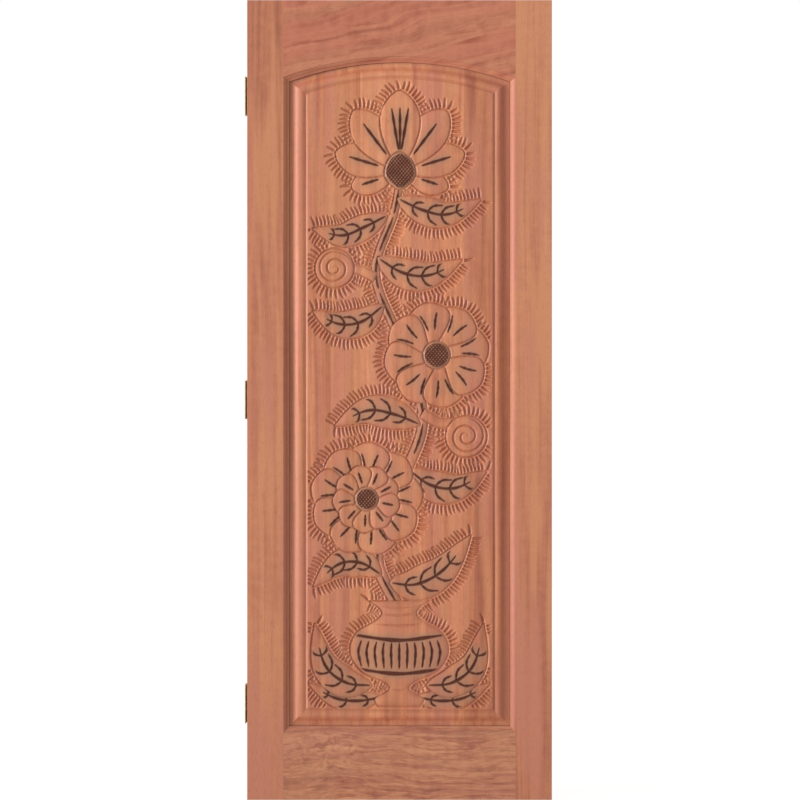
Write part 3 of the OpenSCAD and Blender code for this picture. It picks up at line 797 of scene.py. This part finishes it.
def grown(base, tree, values):
    """Plain mesh that a node tree makes from a base mesh."""
    carrier = bpy.data.objects.new("carrier", base)
    bpy.context.scene.collection.objects.link(carrier)
    modifier = carrier.modifiers.new("tree", "NODES")
    modifier.node_group = tree
    sockets = {item.name: item.identifier for item in tree.interface.items_tree if item.in_out == "INPUT"}
    for label, value in values.items():
        modifier[sockets[label]] = value
    bpy.context.view_layer.update()
    mesh = bpy.data.meshes.new_from_object(carrier.evaluated_get(bpy.context.evaluated_depsgraph_get()))
    bpy.data.objects.remove(carrier)
    return mesh


def pattern(mesh):
    """Object that a tree or a cut works from; it isn't in the finished scene."""
    return bpy.data.objects.new("pattern", mesh)


beech = sawn_wood("beech", ("#dcb88e", "#cfa77c", "#c39a70", "#a87f58"), (), "X", (60, 90), 5.5, 0.4, 0.5)
FLUTES = 14
ends = [(0, 0.86), (1.2, 0.97), (2.2, 1.0)]
dowel_line = [(at - DOWEL_L / 2, DOWEL_R * share) for at, share in ends]
dowel_line += [(DOWEL_L / 2 - at, DOWEL_R * share) for at, share in reversed(ends)]
dowel = turned(dowel_line, 4 * FLUTES, lambda at, turn, r: r * (1 - 0.035 * (1 + np.cos(FLUTES * turn))))

tree, given = tree_for("dowels", [("Piece", "Object"), ("Finish", "Material"), ("Rows", "Int"),
                                  ("Pitch", "Vector")])
row = add(tree, "GeometryNodeMeshLine", {"Count": given["Rows"], "Offset": given["Pitch"]})
rows = add(tree, "GeometryNodeInstanceOnPoints", {"Points": given["Geometry"], "Instance": row})
real = add(tree, "GeometryNodeRealizeInstances", {"Geometry": rows})
put_in_place(tree, real, given)
base = bpy.data.meshes.new("seams")
base.from_pydata([(x * MM, 0, dowel_rows[0] * MM) for x in seams[1:-1]], [], [])
mesh = grown(base, tree, {"Piece": pattern(dowel), "Finish": beech, "Rows": len(dowel_rows),
                          "Pitch": (0, 0, (dowel_rows[1] - dowel_rows[0]) * MM)})
piece = shown("fluted_dowels", mesh, beech)
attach(piece, DOOR)
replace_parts(piece, "stave_dowels")

# Wedges: split from straight pale hardwood and driven in beside the through tenons.
# Their ends are planed off flush with the leaf's edges.
pale = sawn_wood("pale hardwood", ("#d7b285", "#caa274", "#bd9466", "#a37a50"), (), "X", (90, 60), 9.1, 0.6, 0.6)
for node in ("top_tenon_wedges", "bottom_tenon_wedges"):
    eased(node, "split_" + node, pale, arris=0, fine=0.15)

# Hinge leaves: rolled brass with knuckles round the pin, let into the stile's edge or lying beside it.
# Handling has left them satin, with a browner bloom in patches and fine lines along their length.
FRAME_SIDE = "frame_side"


def brass(name, bright, dull, lines):
    """Satin brass: soft yellow glints, brown bloom in patches 12 mm wide, and fine brushed lines."""
    material, tree = blank(name)
    place = add(tree, "ShaderNodeTexCoord").outputs["Object"]
    bloom = add(tree, "ShaderNodeTexNoise", {"Vector": place, "Scale": 1 / 0.012, "Detail": 5.0, "Roughness": 0.6})
    ramp = add(tree, "ShaderNodeValToRGB", {"Fac": bloom})
    for element, (stop, shade) in zip(ramp.color_ramp.elements, ((0.38, bright), (0.72, dull))):
        element.position, element.color = stop, linear(shade)
    drawn = add(tree, "ShaderNodeVectorMath", {0: place, 1: lines}, operation="MULTIPLY")
    brushed = add(tree, "ShaderNodeTexNoise", {"Vector": drawn, "Scale": 1.0, "Detail": 2.0})
    rough = add(tree, "ShaderNodeMath", {0: bloom, 1: 0.35, 2: 0.18}, operation="MULTIPLY_ADD")
    bump = add(tree, "ShaderNodeBump", {"Height": brushed, "Strength": 0.2, "Distance": 0.0001})
    shader = add(tree, "ShaderNodeBsdfPrincipled", {
        "Base Color": ramp, "Roughness": rough, "Normal": bump, "Metallic": 1.0})
    add(tree, "ShaderNodeOutputMaterial", {"Surface": shader})
    return material


rolled = brass("rolled brass, aged", "#ad8f58", "#735a34", (900, 900, 60))
for place in ("bottom", "middle", "top"):
    for side, body in (("door", DOOR), ("frame", FRAME_SIDE)):
        node = f"{side}_flap_{place}"
        piece = eased(node, f"{side}_hinge_leaf_{place}", rolled, body, arris=0, fine=0.35, sharpest=40)

# Hinge pins: turned brass with a low domed head that keeps them from dropping through the knuckles.
# Each is let in from the top, through all five knuckles of its hinge, which turn on it.
HINGE_H, HINGE_MIDDLES = 100, (("bottom", 250), ("middle", 1050), ("top", 1850))
AXIS_X, AXIS_Y = -401.5, 27
bar = brass("turned brass", "#bb9c60", "#82673c", (60, 60, 2400))
pin_line = [(0, 2.6), (0.4, 3.2), (1.0, 3.5), (HINGE_H, 3.5), (HINGE_H, 5.1), (HINGE_H + 0.35, 5.5),
            (HINGE_H + 0.9, 5.4), (HINGE_H + 1.6, 4.6), (HINGE_H + 2.15, 3.2), (HINGE_H + 2.45, 1.5)]
for place, middle in HINGE_MIDDLES:
    mesh = turned(pin_line, 40)
    mesh.transform(Matrix.Translation((AXIS_X * MM, AXIS_Y * MM, (middle - HINGE_H / 2) * MM))
                   @ Matrix.Rotation(radians(-90), 4, "Y"))
    piece = shown(f"turned_hinge_pin_{place}", mesh, bar, 40)
    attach(piece, FRAME_SIDE)
    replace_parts(piece, f"hinge_pin_{place}")

# Hinge screws: slotted countersunk brass wood screws, four to a hinge leaf, cut with a coarse thread.
# Their heads lie flush in the leaf's countersinks, and their slots are left as the driver left them.
HEAD_R, SHANK_R, CORE_R, SCREW_L, POINT_L, THREAD_PITCH = 4.2, 2.25, 1.75, 30, 5, 2.2
SLOT_W, SLOT_D = 1.0, 0.8
SCREW_ACROSS, SCREW_ALONG, SCREW_Y, SCREW_RISE = 14, 70, 4, 5
thread = np.arange(11, SCREW_L - 0.4, THREAD_PITCH / 6)
screw_line = [(0, HEAD_R - 0.12), (0.12, HEAD_R), (HEAD_R - SHANK_R, SHANK_R), (10.5, SHANK_R)]
screw_line += [(at, SHANK_R * min(1, (SCREW_L - at) / POINT_L + 0.06)) for at in thread]


def threaded(at, turn, r):
    """Cuts a thread into the screw's lower two thirds."""
    tooth = np.abs(2 * ((at / THREAD_PITCH - turn / (2 * pi)) % 1) - 1)
    return np.where(at > 10.8, r * (CORE_R / SHANK_R + (1 - CORE_R / SHANK_R) * tooth**2), r)


screw = pattern(turned(screw_line, 20, threaded))
slot = bpy.data.meshes.new("slot")
work = bmesh.new()
bmesh.ops.create_cube(work, size=1, matrix=Matrix.Diagonal((2 * SLOT_D * MM, 4 * HEAD_R * MM, SLOT_W * MM, 1)))
work.to_mesh(slot)
work.free()
bpy.context.scene.collection.objects.link(screw)
cutter = pattern(slot)
bpy.context.scene.collection.objects.link(cutter)
saw = screw.modifiers.new("slot", "BOOLEAN")
saw.object, saw.operation, saw.solver = cutter, "DIFFERENCE", "EXACT"
bpy.context.view_layer.update()
slotted = bpy.data.meshes.new_from_object(screw.evaluated_get(bpy.context.evaluated_depsgraph_get()))
bpy.data.objects.remove(screw)
bpy.data.objects.remove(cutter)

tree, given = tree_for("hinge screws", [("Piece", "Object"), ("Finish", "Material"), ("Across", "Float"),
                                        ("Along", "Float"), ("Middle", "Vector")])
grid = add(tree, "GeometryNodeMeshGrid", {"Size X": given["Along"], "Size Y": given["Across"],
                                          "Vertices X": 2, "Vertices Y": 2})
moved = add(tree, "GeometryNodeTransform", {"Geometry": grid, "Rotation": (0, radians(90), 0),
                                            "Translation": given["Middle"]})
put_in_place(tree, moved, given)
for place, middle in HINGE_MIDDLES:
    mesh = grown(bpy.data.meshes.new("none"), tree, {
        "Piece": pattern(slotted), "Finish": bar, "Across": SCREW_ACROSS * MM, "Along": SCREW_ALONG * MM,
        "Middle": (-LEAF_W / 2 * MM, SCREW_Y * MM, (middle + SCREW_RISE) * MM)})
    piece = shown(f"slotted_hinge_screws_{place}", mesh, bar, 40)
    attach(piece, DOOR)
    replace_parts(piece, f"hinge_screws_{place}")

# Floor and light: a plain pale floor under the leaf, a soft lamp that rakes it from the left, a white room.
# Floor and room read white to the camera and in reflections, and the shadow stays.
# The shares say how much of its own colour the leaf's front gives back by lamp and by room.
LAMP_WAY = (-0.95, -0.312, 0.05)
KEY_SHARE, SKY_SHARE, FLOOR_SHARE = 0.44, 0.595, 0.72


def when_seen(tree, more, least=0.0):
    """Value that is raised for the rays that look at a thing and not for those that light the leaf."""
    path = add(tree, "ShaderNodeLightPath").outputs
    seen = add(tree, "ShaderNodeMath", {0: path["Is Camera Ray"], 1: path["Is Glossy Ray"]}, operation="MAXIMUM")
    seen = add(tree, "ShaderNodeMath", {0: seen, 1: path["Is Transmission Ray"]}, operation="MAXIMUM")
    return add(tree, "ShaderNodeMath", {0: seen, 1: more, 2: least}, operation="MULTIPLY_ADD")


floor_mesh = bpy.data.meshes.new("floor")
floor_mesh.from_pydata([(-9, -9, 0), (9, -9, 0), (9, 9, 0), (-9, 9, 0)], [], [(0, 1, 2, 3)])
white, tree = blank("matt white paper")
paper = add(tree, "ShaderNodeBsdfPrincipled", {"Base Color": linear("#ece9e6"), "Roughness": 0.9})
glow = add(tree, "ShaderNodeEmission", {"Color": (1, 1, 1, 1), "Strength": 1.2})
both = add(tree, "ShaderNodeMixShader", {0: when_seen(tree, FLOOR_SHARE), 1: paper, 2: glow})
add(tree, "ShaderNodeOutputMaterial", {"Surface": both})
floor = shown("floor", floor_mesh, white)

lamp = bpy.data.objects.new("key lamp", bpy.data.lights.new("key lamp", "SUN"))
bpy.context.scene.collection.objects.link(lamp)
lamp.data.angle = radians(18)
way = Vector(LAMP_WAY).normalized()
lamp.data.energy = KEY_SHARE * pi / -way.y
lamp.rotation_euler = way.to_track_quat("Z", "Y").to_euler()

sky = bpy.data.worlds.new("white room")
bpy.context.scene.world = sky
sky.use_nodes = True
tree = sky.node_tree
tree.nodes.clear()
room = add(tree, "ShaderNodeBackground", {
    "Color": (1, 1, 1, 1), "Strength": when_seen(tree, 1 - SKY_SHARE, SKY_SHARE)})
add(tree, "ShaderNodeOutputWorld", {"Surface": room})

bpy.context.scene.view_settings.view_transform = "Standard"
